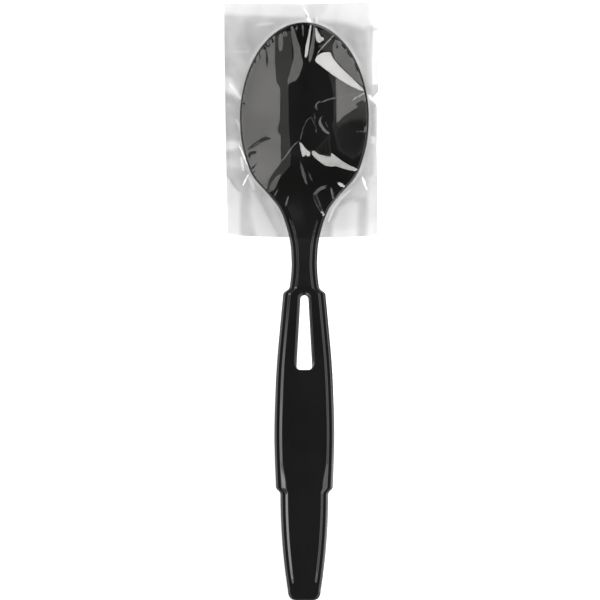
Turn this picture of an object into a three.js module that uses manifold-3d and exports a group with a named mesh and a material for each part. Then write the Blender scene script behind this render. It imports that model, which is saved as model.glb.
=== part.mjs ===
import * as THREE from "three";
import { ParametricGeometry } from "three/addons/geometries/ParametricGeometry.js";
import { mergeVertices } from "three/addons/utils/BufferGeometryUtils.js";
import Module from "manifold-3d";

// A heavy black plastic spoon lying on its back, with its bowl in a clear film sleeve.
// Millimetres. X runs across the spoon, +Y points to the bowl's tip and +Z is up.
// A station is a distance from the bowl's tip, measured back along the spoon.

// Spoon outline, seen from above: the length of each stretch and half the width where it ends.
const tipLength = 25.4;
const bowlHalf = 16.95;
const flankLength = 37.6;
const neckHalf = 3.35;
const neckLength = 6.2;
const neckEndHalf = 3.85;
const shoulderLength = 2.4;
const gripStartHalf = 5.6;
const gripLength = 50;
const gripHalf = 7.95;
const gripEndHalf = 7.55;
const stepLength = 2.3;
const tailStartHalf = 6.3;
const tailLength = 28.1;
const tailEndHalf = 4.5;
const tailCorner = 2.7;

// Shape of a stretch as pairs: share of its length, then share of the width that the flank
// still has to lose, or that the grip has gained.
const flankShape = [
  [0.15, 0.968], [0.3, 0.865], [0.41, 0.74], [0.52, 0.5], [0.63, 0.275], [0.76, 0.112], [0.88, 0.024],
];
const gripShape = [[0.34, 0.68], [0.56, 0.92], [0.76, 1]];

// Spoon section.
const bowlDepth = 7.9;
const bowlWall = 1.2;
const bowlFullness = 2.4; // power of the bowl's inner curve, higher is flatter at the bottom
const bowlUnderFullness = 2.2;
const lipWidth = 0.5;
const lipDrop = 0.4;
const rimFlat = 0.55;
const skirt = 0.9; // rim to the lower edge of the outer side
const trayDepth = 1.3; // handle floor below its rims
const trayWall = 1.3;
const trayInset = 2.2; // outline to the edge of the handle's floor
const stepInset = 0.8; // what that inset gains beside the second shoulder
const stepLead = 6.9; // it starts to gain this far before the shoulder
const insetRoom = 3.3; // where half the width is less than this, the insets shrink with it
const trayEndMargin = 4.6; // end of the spoon to the end of the tray
const trayRamp = 1.4;
const undersideRound = 1.2;
const heelLength = 3.2; // flat under the handle's end, where it touches the table
const neckRise = 5.4; // how far the neck's rims lie above the bowl's
const handleBend = 1.8; // power of the handle's fall towards its end
const bowlRunout = 6; // the bowl shallows from this far behind its widest place to this far before the neck

// Slot through the grip, and the low collar round it.
const slotLength = 19.5;
const slotTopHalf = 1.03;
const slotEndHalf = 2.08;
const slotCorner = 0.5;
const collarWidth = 0.6;
const collarHeight = 0.35;

// Film sleeve.
const filmSideMargin = 3.3; // widest place of the bowl to the sleeve's edge, were the sleeve centred
const filmShift = -0.7; // the sleeve sits a little to one side
const filmTipMargin = 5;
const mouthMargin = 6.8; // open end to the narrowest place of the neck
const filmWall = 0.2; // a drafting thickness, thicker than the real film
const filmGap = 0.3;
const weldWidth = 1;
const filmDip = 0.6; // how far the film over the bowl sinks below the rim
const marginDrop = 3.2; // how far the film beside the bowl can fall below the rim
const marginReach = 5; // distance over which it falls
const filmEase = 1.2; // how far from the outline both films leave the bowl: inside it below, outside it above
const restPatch = 0.4; // how much the table flattens the sleeve under the bowl
const restHalf = 3.2; // half the width of the patch, left without lines so that it stays flat
const filmColumns = 7; // grid of each half of the sleeve, across and along
const filmRows = 25;

// Stations, from the lengths above.
const widestAt = tipLength;
const neckAt = widestAt + flankLength;
const shoulderAt = neckAt + neckLength;
const gripAt = shoulderAt + shoulderLength;
const stepAt = gripAt + gripLength;
const tailAt = stepAt + stepLength;
const spoonLength = tailAt + tailLength;
const slotStart = gripAt;
const slotEnd = slotStart + slotLength;
const filmHalf = bowlHalf + filmSideMargin;
const filmMouth = neckAt - mouthMargin;

// Heights of the rim: the sleeve's film lies under the bowl, and the handle's end is on the table.
const rimInset = lipWidth + rimFlat;
const bowlRimHeight = filmWall + filmGap + bowlWall + bowlDepth;
const peakRimHeight = bowlRimHeight + neckRise;
const handleDepth = trayDepth + trayWall;

const { clamp, lerp, smoothstep } = THREE.MathUtils;
const wasm = await Module();
wasm.setup();

// Half of the outline as a path, x across and y along the stations.
function halfOutline() {
  const path = new THREE.Path();
  const at = (x, station) => new THREE.Vector2(x, station);
  const flank = flankShape.map(
    ([along, left]) => at(lerp(neckHalf, bowlHalf, left), lerp(widestAt, neckAt, along)),
  );
  const grip = gripShape.map(
    ([along, gained]) => at(lerp(gripStartHalf, gripHalf, gained), lerp(gripAt, stepAt, along)),
  );
  const cornerAt = spoonLength - tailCorner;
  path.moveTo(0, 0);
  path.absellipse(0, widestAt, bowlHalf, tipLength, -Math.PI / 2, 0, false);
  path.splineThru([...flank, at(neckHalf, neckAt)]);
  path.quadraticCurveTo(neckHalf, (neckAt + shoulderAt) / 2, neckEndHalf, shoulderAt);
  shoulderTo(path, gripStartHalf, gripAt);
  path.splineThru([...grip, at(gripEndHalf, stepAt)]);
  shoulderTo(path, tailStartHalf, tailAt);
  path.quadraticCurveTo(tailStartHalf, (tailAt + cornerAt) / 2, tailEndHalf, cornerAt);
  path.quadraticCurveTo(tailEndHalf, spoonLength, tailEndHalf - tailCorner, spoonLength);
  return path;
}

// An S-shaped step in the outline, which leaves and arrives along the spoon.
function shoulderTo(path, half, station) {
  const { x, y } = path.currentPoint;
  const middle = (y + station) / 2;
  path.bezierCurveTo(x, middle, half, middle, half, station);
}

const pointsPerCurve = 14;
const outline = halfOutline().getPoints(pointsPerCurve);

// Half the spoon's width at a station.
function halfAt(station) {
  const d = clamp(station, 0, spoonLength);
  const next = Math.max(1, outline.findIndex((p) => p.y >= d));
  const [a, b] = [outline[next - 1], outline[next]];
  return b.y - a.y < 1e-9 ? a.x : lerp(a.x, b.x, (d - a.y) / (b.y - a.y));
}

// Distance from a point to the spoon's outline: positive inside, negative outside.
function edgeDistance(x, station) {
  const point = new THREE.Vector3(Math.abs(x), station, 0);
  const line = new THREE.Line3();
  const nearest = new THREE.Vector3();
  const ends = [...outline, new THREE.Vector2(0, spoonLength)];
  let best = Infinity;
  for (let i = 1; i < ends.length; i += 1) {
    line.start.set(ends[i - 1].x, ends[i - 1].y, 0);
    line.end.set(ends[i].x, ends[i].y, 0);
    line.closestPointToPoint(point, true, nearest);
    best = Math.min(best, nearest.distanceTo(point));
  }
  const inside = station > 0 && station < spoonLength && point.x < halfAt(station);
  return inside ? best : -best;
}

// Height of the rims: level round the bowl, up to the first shoulder, then down to the handle's end.
function rimHeight(station) {
  const rise = neckRise * smoothstep(station, widestAt + bowlRunout, gripAt);
  const fallShare = Math.max(0, station - gripAt) / (spoonLength - heelLength - gripAt);
  return bowlRimHeight + rise - (peakRimHeight - handleDepth) * fallShare ** handleBend;
}

// 1 in the bowl, 0 in the handle.
function bowlShare(station) {
  return 1 - smoothstep(station, widestAt + bowlRunout, neckAt - bowlRunout);
}

// Outline to the edge of the handle's floor, wider beside the second shoulder.
function floorInset(station) {
  const nearing = smoothstep(station, stepAt - stepLead, stepAt);
  return trayInset + stepInset * nearing * (1 - smoothstep(station, stepAt, tailAt));
}

// Depth of the top surface below the rim: lip, flat rim, then bowl or tray.
function topDepth(x, station) {
  const edge = Math.max(0, edgeDistance(x, station));
  const lip = lipDrop * (1 - clamp(edge / lipWidth, 0, 1));
  const inward = clamp((edge - rimInset) / (bowlHalf - rimInset), 0, 1);
  const bowl = bowlDepth * (1 - (1 - inward) ** bowlFullness);
  const slope = clamp((edge - rimInset) / (floorInset(station) - rimInset), 0, 1);
  const trayEnd = spoonLength - trayEndMargin;
  const tray = trayDepth * slope * (1 - smoothstep(station, trayEnd - trayRamp, trayEnd));
  return lip + lerp(tray, bowl, bowlShare(station));
}

// Depth of the underside below the rim, at a distance in from the outline.
function depthBelowRim(edge, station) {
  const inward = clamp(edge / bowlHalf, 0, 1);
  const bowl = (bowlDepth + bowlWall - skirt) * (1 - (1 - inward) ** bowlUnderFullness);
  const tray = (handleDepth - skirt) * Math.sin((Math.PI / 2) * clamp(edge / undersideRound, 0, 1));
  return skirt + lerp(tray, bowl, bowlShare(station));
}

const spoonTop = (x, station) => rimHeight(station) - topDepth(x, station);
const spoonUnderside = (x, station) => (
  Math.max(0, rimHeight(station) - depthBelowRim(Math.max(0, edgeDistance(x, station)), station))
);

// Film over the bowl: it clears the rim, sinks a little inside it and falls away outside it.
function filmTop(x, station) {
  const edge = edgeDistance(x, station);
  const level = rimHeight(Math.max(0, station)) + filmGap + filmWall;
  const inward = clamp((edge - rimInset) / (bowlHalf - rimInset), 0, 1);
  const fall = 1 - Math.exp(-Math.max(0, -edge - filmEase) / marginReach);
  return level - filmDip * smoothstep(inward, 0, 0.5) - marginDrop * fall;
}

// Film under the bowl: it follows the underside loosely, and outside the bowl it closes on the upper film.
function filmUnderside(x, station) {
  const edge = edgeDistance(x, station);
  const level = rimHeight(Math.max(0, station));
  const along = clamp(station, 0, spoonLength);
  const clear = filmGap + filmWall + restPatch;
  if (edge > 0) return Math.max(0, level - depthBelowRim(edge + filmEase, along) - clear);
  const border = Math.min(filmHalf - Math.abs(x - filmShift), station + filmTipMargin);
  const apart = filmGap + depthBelowRim(filmEase, along) + clear - filmWall;
  const open = clamp(border / (border - edge + 1e-9), 0, 1);
  return filmTop(x, station) - 2 * filmWall - apart * open;
}

// Closed body between two surfaces. Each row has a station and its own places across,
// and the first and last rows are closed by a wall from one surface to the other.
function bodyBetween(rows, top, underside) {
  const across = rows[0].places.length;
  const surface = (u, v, target) => {
    const turn = Math.round(u * 2 * across) % (2 * across);
    const step = Math.round(v * (rows.length + 1));
    const { station, places } = rows[clamp(step - 1, 0, rows.length - 1)];
    const x = places[turn < across ? turn : 2 * across - 1 - turn];
    const high = top(x, station);
    const low = underside(x, station);
    const closing = step === 0 || step === rows.length + 1;
    const z = closing ? (high + low) / 2 : turn < across ? high : low;
    target.set(x, -station, z);
  };
  return solid(new ParametricGeometry(surface, 2 * across, rows.length + 1));
}

// Solid from a closed geometry: shared vertices are merged and collapsed triangles dropped.
function solid(geometry) {
  const bare = geometry.clone();
  bare.deleteAttribute("normal");
  bare.deleteAttribute("uv");
  const merged = mergeVertices(bare, 1e-5);
  const corners = [];
  for (let i = 0; i < merged.index.count; i += 3) {
    const [a, b, c] = [0, 1, 2].map((k) => merged.index.getX(i + k));
    if (a !== b && b !== c && c !== a) corners.push(a, b, c);
  }
  const turned = signedVolume(merged.attributes.position, corners) < 0;
  return new wasm.Manifold(new wasm.Mesh({
    numProp: 3,
    vertProperties: new Float32Array(merged.attributes.position.array),
    triVerts: new Uint32Array(turned ? corners.reverse() : corners),
  }));
}

function signedVolume(position, corners) {
  const [a, b, c] = [new THREE.Vector3(), new THREE.Vector3(), new THREE.Vector3()];
  let total = 0;
  for (let i = 0; i < corners.length; i += 3) {
    a.fromBufferAttribute(position, corners[i]);
    b.fromBufferAttribute(position, corners[i + 1]);
    c.fromBufferAttribute(position, corners[i + 2]);
    total += a.dot(b.cross(c)) / 6;
  }
  return total;
}

function geometryOf(body) {
  const { vertProperties, triVerts } = body.getMesh();
  const geometry = new THREE.BufferGeometry();
  geometry.setAttribute("position", new THREE.BufferAttribute(vertProperties, 3));
  geometry.setIndex(new THREE.BufferAttribute(triVerts, 1));
  geometry.computeVertexNormals();
  return geometry;
}

// Evenly spaced values from a to b, both included.
function evenly(a, b, parts) {
  return Array.from({ length: parts + 1 }, (_, i) => lerp(a, b, i / parts));
}

// Stations of the spoon's sections: close together where its outline or its height turns.
function spoonStations() {
  const tip = evenly(0, Math.PI / 2, 13).map((angle) => tipLength * (1 - Math.cos(angle)));
  const trayEnd = spoonLength - trayEndMargin;
  return [
    ...tip,
    ...evenly(widestAt, neckAt, 17).slice(1),
    ...evenly(neckAt, shoulderAt, 2).slice(1),
    ...evenly(shoulderAt, gripAt, 3).slice(1),
    ...evenly(gripAt, stepAt - stepLead, 8).slice(1),
    ...evenly(stepAt - stepLead, stepAt, 3).slice(1),
    ...evenly(stepAt, tailAt, 3).slice(1),
    ...evenly(tailAt, trayEnd - trayRamp, 4).slice(1),
    trayEnd,
    spoonLength - heelLength,
    ...evenly(spoonLength - undersideRound, spoonLength, 3),
  ];
}

// Places across a section: lip, rim and floor edges first, then even steps to the middle.
function spoonPlaces(station) {
  const half = halfAt(station);
  const shrink = Math.min(1, half / insetRoom);
  const insets = [0, lipWidth, rimInset, floorInset(station)].map((inset) => inset * shrink);
  const floorHalf = half - insets[3];
  const oneSide = [...insets.map((inset) => half - inset), ...evenly(floorHalf, 0, 4).slice(1)];
  return [...oneSide.map((x) => -x), ...oneSide.slice(0, -1).reverse()];
}

// Outline of the slot, grown sideways and at its narrow end, in x and -station.
function slotShape(grow) {
  const shape = new THREE.Shape();
  const narrow = slotTopHalf + grow;
  const wide = slotEndHalf + grow;
  const arcAt = slotStart + slotTopHalf;
  const corner = grow > 0 ? 0 : slotCorner;
  shape.moveTo(-wide + corner, -slotEnd);
  shape.lineTo(wide - corner, -slotEnd);
  shape.lineTo(wide, -slotEnd + corner);
  for (const station of evenly(slotEnd - corner, arcAt, 6).slice(1)) {
    shape.lineTo(lerp(narrow, wide, (station - arcAt) / (slotEnd - arcAt)), -station);
  }
  shape.absarc(0, -arcAt, narrow, 0, Math.PI, false);
  for (const station of evenly(arcAt, slotEnd - corner, 6).slice(1)) {
    shape.lineTo(-lerp(narrow, wide, (station - arcAt) / (slotEnd - arcAt)), -station);
  }
  return shape;
}

function makeSpoon() {
  const rows = spoonStations().map((station) => ({ station, places: spoonPlaces(station) }));
  const body = bodyBetween(rows, spoonTop, spoonUnderside);
  const collar = new THREE.ExtrudeGeometry(slotShape(collarWidth), {
    depth: collarHeight + trayWall / 2, bevelEnabled: false, curveSegments: 6,
  });
  const at = collar.attributes.position;
  for (let i = 0; i < at.count; i += 1) {
    at.setZ(i, at.getZ(i) - trayWall / 2 + rimHeight(-at.getY(i)) - trayDepth);
  }
  const cutter = new THREE.ExtrudeGeometry(slotShape(0), {
    depth: 2 * peakRimHeight, bevelEnabled: false, curveSegments: 6,
  });
  cutter.translate(0, 0, -peakRimHeight / 2);
  return geometryOf(body.add(solid(collar)).subtract(solid(cutter)));
}

// The sleeve: a body with the film's outer faces, less the space between the two films.
// That space stops at the welds along both sides and runs out through the open end.
function makeFilm() {
  const [left, right] = [filmShift - filmHalf, filmShift + filmHalf];
  const innerPlaces = [
    ...evenly(left + weldWidth, -restHalf, filmColumns),
    ...evenly(restHalf, right - weldWidth, filmColumns),
  ];
  const innerStations = evenly(weldWidth - filmTipMargin, filmMouth, filmRows);
  const outerRows = [-filmTipMargin, ...innerStations]
    .map((station) => ({ station, places: [left, ...innerPlaces, right] }));
  const innerRows = [...innerStations, filmMouth + weldWidth]
    .map((station) => ({ station, places: innerPlaces }));
  const outer = bodyBetween(outerRows, filmTop, filmUnderside);
  const inner = bodyBetween(
    innerRows,
    (x, station) => filmTop(x, station) - filmWall,
    (x, station) => filmUnderside(x, station) + filmWall,
  );
  return geometryOf(outer.subtract(inner));
}

function named(name, geometry, material) {
  const mesh = new THREE.Mesh(geometry, material);
  mesh.name = name;
  return mesh;
}

const blackPlastic = new THREE.MeshStandardMaterial({ color: 0x121312, roughness: 0.22, metalness: 0 });
const clearFilm = new THREE.MeshStandardMaterial({
  color: 0xeef0ef, roughness: 0.12, metalness: 0, transparent: true, opacity: 0.3,
});

// The origin is under the middle of the whole object's box, on the table.
const wrappedSpoon = new THREE.Group();
wrappedSpoon.position.set(-filmShift, (spoonLength - filmTipMargin) / 2, 0);
wrappedSpoon.add(named("spoon", makeSpoon(), blackPlastic));
wrappedSpoon.add(named("film_wrap", makeFilm(), clearFilm));

export default wrappedSpoon;
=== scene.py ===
import bpy
import bmesh
import numpy as np
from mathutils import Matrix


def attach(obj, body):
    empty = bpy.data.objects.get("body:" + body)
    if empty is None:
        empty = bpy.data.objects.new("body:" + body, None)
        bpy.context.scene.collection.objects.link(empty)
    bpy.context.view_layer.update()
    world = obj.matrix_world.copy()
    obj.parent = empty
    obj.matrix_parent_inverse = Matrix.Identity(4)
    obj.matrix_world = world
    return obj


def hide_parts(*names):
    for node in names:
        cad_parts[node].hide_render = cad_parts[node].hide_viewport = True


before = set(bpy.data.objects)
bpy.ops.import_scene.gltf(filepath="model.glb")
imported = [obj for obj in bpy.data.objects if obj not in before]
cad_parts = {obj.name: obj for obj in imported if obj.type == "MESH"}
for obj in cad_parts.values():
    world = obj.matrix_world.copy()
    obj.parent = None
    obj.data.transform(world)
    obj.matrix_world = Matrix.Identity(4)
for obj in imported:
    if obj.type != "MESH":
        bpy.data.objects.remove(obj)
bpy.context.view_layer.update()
print("frame loaded")

# A black plastic spoon on its back, its bowl in a clear film sleeve.
# Shapes are worked out in mm. A station is the distance back from the bowl's tip.
mm = 0.001
tipY = 73.5  # where the tip is along Y
spoonX = 0.7  # the sleeve is centred on x = 0, so the spoon is a little to one side


def ease(x, a, b):  # 0 before a, 1 after b, smooth cubic between
    t = np.clip((x - a) / (b - a), 0, 1)
    return t * t * (3 - 2 * t)


def mix(a, b, share):
    return a + (b - a) * share


def lineDistance(x, y, line):
    # nearest distance to a line of points, and share of the way along it
    nearest, share = np.full(x.shape, 1e9), np.zeros(x.shape)
    lengths = np.hypot(*np.diff(line, axis=0).T)
    done = 0.0
    for (ax, ay), (bx, by), length in zip(line[:-1], line[1:], lengths):
        ux, uy = (bx - ax) / length, (by - ay) / length
        along = np.clip((x - ax) * ux + (y - ay) * uy, 0, length)
        gap = np.hypot(x - ax - along * ux, y - ay - along * uy)
        closer = gap < nearest
        nearest = np.where(closer, gap, nearest)
        share = np.where(closer, (done + along) / lengths.sum(), share)
        done += length
    return nearest, share


def meshPiece(name, points, faces, material, merge=0.0):
    # points in mm with X, station, Z become a mesh in the row frame, in metres
    mesh = bpy.data.meshes.new(name)
    placed = np.stack([points[:, 0], tipY - points[:, 1], points[:, 2]], 1) * mm
    mesh.from_pydata(placed.tolist(), [], faces.tolist())
    if merge:
        tool = bmesh.new()
        tool.from_mesh(mesh)
        bmesh.ops.remove_doubles(tool, verts=tool.verts, dist=merge * mm)
        bmesh.ops.dissolve_degenerate(tool, edges=tool.edges, dist=merge * mm * 0.5)
        bmesh.ops.recalc_face_normals(tool, faces=tool.faces)
        tool.to_mesh(mesh)
        tool.free()
    mesh.shade_smooth()
    mesh.materials.append(material)
    piece = bpy.data.objects.new(name, mesh)
    bpy.context.scene.collection.objects.link(piece)
    return piece


def gridFaces(rows, columns, start=0):
    # four corners of each cell of a grid of points
    corner = start + np.arange(rows - 1)[:, None] * columns + np.arange(columns - 1)[None, :]
    return np.stack([corner, corner + 1, corner + columns + 1, corner + columns], -1).reshape(-1, 4)


# the studio is the world alone, so that each gloss mirrors one direction of it
studio = dict(
    rightFrom=10.0, rightTo=40.0, rightLight=2.2,  # degrees from straight up, across the spoon
    dimFrom=6.0, dimLight=0.6,  # grey edge of the right box
    leftFrom=13.0, leftTo=40.0, leftLight=2.1,
    boxReach=50.0,  # half the length of both boxes, in degrees along the spoon
    topDark=0.04, wallDark=0.2, wallAway=(30.0, 60.0),  # overhead, at the walls, and the way between them
    lampAcross=(4.0, 32.0), lampAlong=(26.0, 46.0), lampLight=9.0,
    horizonRight=0.5, horizonLeft=0.8,  # glow round the horizon, level with the spoon's tip
    lowRight=5.2, lowLeft=1.15,  # the same a little towards the end of the handle
    between=0.42, highLeft=2.0,  # glow ahead and behind, and higher up on the left
    # where those glows begin: degrees across, or x, y or z of the direction looked in
    asideAcross=(28.0, 36.0), horizonZ=(0.2, 0.35), aheadY=(-0.3, -0.1),
    leftX=(-0.8, -0.62), rightX=(0.5, 0.64), behindY=(-0.58, -0.42), behindRight=0.1,
    highX=(-0.64, -0.5), highY=(-0.5, 0.5), highSoft=0.1, highZ=(0.17, 0.27),
)


def addNode(tree, kind, inputs=(), **settings):
    # a node whose inputs, by name or number, each take a value or the output of another node
    node = tree.nodes.new("ShaderNode" + kind)
    for name, value in settings.items():
        setattr(node, name, value)
    for name, value in dict(inputs).items():
        if isinstance(value, bpy.types.NodeSocket):
            tree.links.new(value, node.inputs[name])
        else:
            node.inputs[name].default_value = value
    return node


def mathNode(tree, operation, *values, clamp=False):
    return addNode(tree, "Math", enumerate(values), operation=operation, use_clamp=clamp).outputs[0]


def rampNode(tree, value, a, b, low=0.0, high=1.0):
    # low before a, high after b, smooth between
    inputs = {"Value": value, "From Min": a, "From Max": b, "To Min": low, "To Max": high}
    return addNode(tree, "MapRange", inputs, interpolation_type="SMOOTHSTEP").outputs[0]


def bandNode(tree, value, a, b, soft=0.6):
    # 1 between a and b, 0 outside, soft to each side of both
    rise = rampNode(tree, value, a - soft, a + soft)
    fall = rampNode(tree, value, b - soft, b + soft, 1.0, 0.0)
    return mathNode(tree, "MULTIPLY", rise, fall)


def boxLight(tree, across, along):
    # dark overhead, lighter at the walls, the brighter of that and each box, and the lamp added
    s = studio
    squares = mathNode(tree, "MULTIPLY_ADD", across, across, mathNode(tree, "MULTIPLY", along, along))
    away = mathNode(tree, "SQRT", squares)
    light = rampNode(tree, away, *s["wallAway"], s["topDark"], s["wallDark"])
    reach = bandNode(tree, along, -s["boxReach"], s["boxReach"])
    for low, high, level in (
        (s["dimFrom"], s["rightFrom"], s["dimLight"]),
        (s["rightFrom"], s["rightTo"], s["rightLight"]),
        (-s["leftTo"], -s["leftFrom"], s["leftLight"]),
    ):
        box = mathNode(tree, "MULTIPLY", bandNode(tree, across, low, high), reach)
        light = mathNode(tree, "MAXIMUM", light, mathNode(tree, "MULTIPLY", box, level))
    lampBands = bandNode(tree, across, *s["lampAcross"]), bandNode(tree, along, *s["lampAlong"])
    lamp = mathNode(tree, "MULTIPLY", *lampBands)
    return mathNode(tree, "ADD", light, mathNode(tree, "MULTIPLY", lamp, s["lampLight"]))


def highLight(tree, x, y, z):
    # higher up on the left: a ramp in z and in x times a band in y
    s = studio
    ramps = rampNode(tree, z, *s["highZ"]), rampNode(tree, x, *s["highX"], 1.0, 0.0)
    band = bandNode(tree, y, *s["highY"], s["highSoft"])
    high = mathNode(tree, "MULTIPLY", mathNode(tree, "MULTIPLY", *ramps), band)
    return mathNode(tree, "MULTIPLY", high, s["highLeft"])


def horizonLight(tree, across, x, y, z):
    # low down or far aside: the level between, moved to the left or the right one by the share of each side
    s = studio
    aside = rampNode(tree, mathNode(tree, "ABSOLUTE", across), *s["asideAcross"])
    glow = mathNode(tree, "MAXIMUM", aside, rampNode(tree, z, *s["horizonZ"], 1.0, 0.0))
    ahead = rampNode(tree, y, *s["aheadY"])
    left = mathNode(tree, "MULTIPLY_ADD", ahead, s["horizonLeft"] - s["lowLeft"], s["lowLeft"])
    right = mathNode(tree, "MULTIPLY_ADD", ahead, s["horizonRight"] - s["lowRight"], s["lowRight"])
    right = mathNode(tree, "MULTIPLY", right, rampNode(tree, y, *s["behindY"], s["behindRight"], 1.0))
    shares = rampNode(tree, x, *s["leftX"], 1.0, 0.0), rampNode(tree, x, *s["rightX"])
    side = s["between"]
    for level, share in zip((left, right), shares):
        step = mathNode(tree, "SUBTRACT", level, s["between"])
        side = mathNode(tree, "MULTIPLY_ADD", share, step, side)
    return mathNode(tree, "MULTIPLY", glow, side)


def makeWorld():
    # the angle across is atan2(x, z) and the angle along is asin(y) of the direction looked in,
    # the brightest light in a direction wins, and the camera sees plain white
    world = bpy.data.worlds.new("studio")
    bpy.context.scene.world = world
    world.use_nodes = True
    tree = world.node_tree
    tree.nodes.clear()
    place = addNode(tree, "TexCoord")
    x, y, z = addNode(tree, "SeparateXYZ", {"Vector": place.outputs["Generated"]}).outputs
    across = mathNode(tree, "MULTIPLY", mathNode(tree, "ARCTAN2", x, z), 180 / np.pi)
    along = mathNode(tree, "MULTIPLY", mathNode(tree, "ARCSINE", y), 180 / np.pi)
    light = mathNode(tree, "MAXIMUM", boxLight(tree, across, along), highLight(tree, x, y, z))
    light = mathNode(tree, "MAXIMUM", light, horizonLight(tree, across, x, y, z))
    seen = addNode(tree, "LightPath").outputs["Is Camera Ray"]
    strength = addNode(tree, "Mix", {"Factor": seen, "A": light, "B": 1.0})
    background = addNode(tree, "Background", {"Color": (1, 1, 1, 1), "Strength": strength.outputs[0]})
    addNode(tree, "OutputWorld", {"Surface": background.outputs[0]})


makeWorld()
bpy.context.scene.view_settings.view_transform = "Standard"
print("studio made")

# camera straight above, as in the photograph
view = dict(height=2.0, lens=455.6, sensor=36.0, x=-0.00044, y=0.000693)
cameraData = bpy.data.cameras.new("camera")
cameraData.lens = view["lens"]
cameraData.sensor_width = view["sensor"]
camera = bpy.data.objects.new("camera", cameraData)
camera.location = (view["x"], view["y"], view["height"])
bpy.context.scene.collection.objects.link(camera)
bpy.context.scene.camera = camera


def newMaterial(name):
    material = bpy.data.materials.new(name)
    material.use_nodes = True
    material.node_tree.nodes.clear()
    return material, material.node_tree


# floor: lit by the studio, and lifted to white for the eye and for gloss
floorSize = dict(half=3.0, lift=0.5, paint=0.8, height=-0.00005)


def makeFloor():
    # a square sheet, a hair under z = 0
    material, tree = newMaterial("palePaper")
    paint = addNode(tree, "BsdfDiffuse", {"Color": (floorSize["paint"],) * 3 + (1,)})
    rays = addNode(tree, "LightPath").outputs
    seen = mathNode(tree, "MAXIMUM", rays["Is Camera Ray"], rays["Is Glossy Ray"])
    seen = mathNode(tree, "MAXIMUM", seen, rays["Is Transmission Ray"])
    strength = mathNode(tree, "MULTIPLY", seen, floorSize["lift"])
    lift = addNode(tree, "Emission", {"Color": (1, 1, 1, 1), "Strength": strength})
    both = addNode(tree, "AddShader", {0: paint.outputs[0], 1: lift.outputs[0]})
    addNode(tree, "OutputMaterial", {"Surface": both.outputs[0]})
    h, z = floorSize["half"], floorSize["height"]
    mesh = bpy.data.meshes.new("floor")
    mesh.from_pydata([(-h, -h, z), (h, -h, z), (h, h, z), (-h, h, z)], [], [(0, 1, 2, 3)])
    mesh.materials.append(material)
    floor = bpy.data.objects.new("floor", mesh)
    bpy.context.scene.collection.objects.link(floor)


makeFloor()
print("camera and floor made")

# spoon: its outline, the heights over it and under it, then the rows that join them
spoonSize = dict(
    tipLength=25.4, bowlHalf=16.95, flankLength=37.6, neckHalf=3.35,
    neckLength=6.2, neckEndHalf=3.85, shoulderLength=2.4, gripStartHalf=5.6,
    gripLength=50.0, gripHalf=7.87, gripEndHalf=7.5, stepLength=2.3,
    tailStartHalf=6.3, tailLength=28.1, tailEndHalf=4.35, tailCorner=2.7,
    flankShape=[(0.15, 0.968), (0.3, 0.865), (0.41, 0.725), (0.52, 0.46), (0.63, 0.225), (0.76, 0.09),
                (0.88, 0.02)],  # share of the length, share of the width still to lose
    gripShape=[(0.34, 0.68), (0.56, 0.92), (0.76, 1.0)],  # share of length, share of width gained
    bowlDepth=7.9, bowlWall=1.2, bowlPower=2.4, underPower=2.2, bowlRimHeight=9.6,
    valley=1.5,
    lipWidth=0.68, lipDrop=0.5, rimInset=1.38, skirt=0.9,
    trayDepth=0.41, trayWall=2.19, floorInset=1.94, stepInset=0.8, stepLead=6.9,
    traySoft=0.16,  # share of the tray's slope that is rounded at each end
    trayEndMargin=3.9, trayRamp=4.6, underRound=1.2, heel=3.2,
    neckRise=5.4, handleBend=1.8, runout=6.0, endCentre=4.7,
    slotLength=19.5, slotTopHalf=1.03, slotEndHalf=2.08, slotCorner=1.0,
    collarWidth=0.6, collarHeight=0.35, collarEnds=(0.7, 0.1),  # before the slot's end
)
sp = spoonSize
neckAt = sp["tipLength"] + sp["flankLength"]
shoulderAt = neckAt + sp["neckLength"]
gripAt = shoulderAt + sp["shoulderLength"]
stepAt = gripAt + sp["gripLength"]
tailAt = stepAt + sp["stepLength"]
spoonEnd = tailAt + sp["tailLength"]
slotEnd = gripAt + sp["slotLength"]


def bezier(points, count):
    # each point weighted by the binomial share of t and 1 - t
    p, t = np.array(points, float), np.linspace(0, 1, count)[:, None]
    n = len(p) - 1
    ways = (1, 2, 1) if n == 2 else (1, 3, 3, 1)
    return sum(w * (1 - t) ** (n - k) * t ** k * p[k] for k, w in enumerate(ways))


def splineThrough(points, count):
    # a cubic between neighbours, whose slope at a point is half the step between its two neighbours
    p = np.array(points, float)
    t = np.linspace(0, len(p) - 1, count)
    i = np.minimum(t.astype(int), len(p) - 2)
    w = (t - i)[:, None]
    a, b, c, d = p[np.maximum(i - 1, 0)], p[i], p[i + 1], p[np.minimum(i + 2, len(p) - 1)]
    v, u = (c - a) / 2, (d - b) / 2
    return (2 * b - 2 * c + v + u) * w ** 3 + (3 * c - 3 * b - 2 * v - u) * w ** 2 + v * w + b


def shoulder(half, station, halfAfter, stationAfter):
    # an S-shaped bezier, level at both ends
    middle = (station + stationAfter) / 2
    return bezier([(half, station), (half, middle), (halfAfter, middle), (halfAfter, stationAfter)], 30)


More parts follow.
